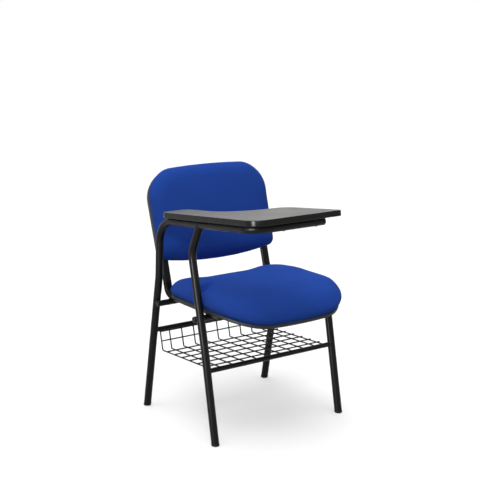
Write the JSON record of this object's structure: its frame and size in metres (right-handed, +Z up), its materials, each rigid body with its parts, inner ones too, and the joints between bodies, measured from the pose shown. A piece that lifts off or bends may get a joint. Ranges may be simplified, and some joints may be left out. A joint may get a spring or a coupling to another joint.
{
  "type": "tablet arm chair",
  "caption": "Steel tube chair with padded blue seat and backrest, a fixed writing tablet over the sitter's right arm and a wire book basket under the seat.",
  "frame": {"origin": "on the floor, at the middle of the chair's bounding box", "axes": "+Z up; -Y the way the sitter faces; +X towards the sitter's left, so the tablet's arm is at -X"},
  "size_m": [0.543, 0.7322, 0.8286],
  "materials": {
    "steel": "semi-gloss black powder coat",
    "plug": "satin black moulded plastic",
    "shell": "fine-grained black moulded plastic",
    "cloth": "plain-woven blue upholstery cloth",
    "foam": "soft upholstery foam",
    "plywood": "raw plywood",
    "laminate": "satin grey laminate on board",
    "edge": "satin black edge band",
    "zinc": "black zinc plated"
  },
  "bodies": {
    "root": {"arm_frame_tube": "steel", "front_right_leg": "steel", "left_leg_frame": "steel", "front_cross_tube": "steel", "rear_cross_tube": "steel", "left_seat_tube": "steel", "right_seat_tube": "steel", "basket_front_bar": "steel", "basket_rear_bar": "steel", "book_basket": "steel", "front_left_glide": "plug", "front_right_glide": "plug", "rear_left_glide": "plug", "rear_right_glide": "plug", "front_cross_tube_left_cap": "plug", "front_cross_tube_right_cap": "plug", "rear_cross_tube_left_cap": "plug", "rear_cross_tube_right_cap": "plug", "left_seat_tube_cap": "plug", "right_seat_tube_cap": "plug", "arm_tube_cap": "plug", "seat_tray": "shell", "back_shell": "shell", "seat_cover": "cloth", "back_cover": "cloth", "seat_foam": "foam", "back_foam": "foam", "seat_board": "plywood", "back_board": "plywood", "tablet_board": "laminate", "tablet_edge_band": "edge", "seat_front_left_bolt": "zinc", "seat_front_left_nut": "zinc", "seat_front_right_bolt": "zinc", "seat_front_right_nut": "zinc", "seat_rear_left_bolt": "zinc", "seat_rear_left_nut": "zinc", "seat_rear_right_bolt": "zinc", "seat_rear_right_nut": "zinc", "back_lower_left_bolt": "zinc", "back_lower_left_nut": "zinc", "back_lower_right_bolt": "zinc", "back_lower_right_nut": "zinc", "back_upper_left_bolt": "zinc", "back_upper_left_nut": "zinc", "back_upper_right_bolt": "zinc", "back_upper_right_nut": "zinc", "tablet_screw_1": "zinc", "tablet_screw_2": "zinc", "tablet_screw_3": "zinc", "tablet_screw_4": "zinc", "tablet_screw_5": "zinc"}
  },
  "joints": []
}
